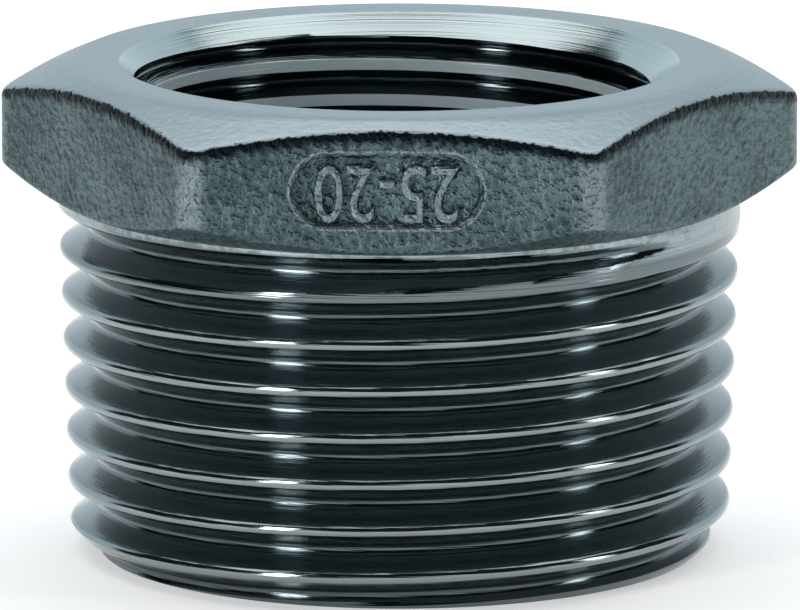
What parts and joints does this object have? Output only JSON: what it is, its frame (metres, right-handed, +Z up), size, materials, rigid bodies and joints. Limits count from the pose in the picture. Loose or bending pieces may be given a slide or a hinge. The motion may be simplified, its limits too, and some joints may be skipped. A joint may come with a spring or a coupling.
{
  "type": "hex bushing",
  "caption": "Stainless hex reducing bushing with a taper male thread below, a low chamfered hex head and a parallel female thread through it.",
  "frame": {"origin": "centre of the male end face, on the axis", "axes": "+Z up the axis from the male end to the hex; two corners of the hex on X, two flats face +Y and -Y, the marked flat faces -Y"},
  "size_m": [0.0392, 0.0342, 0.0243],
  "materials": {
    "steel": "satin"
  },
  "bodies": {
    "root": {"hex_bushing": "steel"}
  },
  "joints": []
}
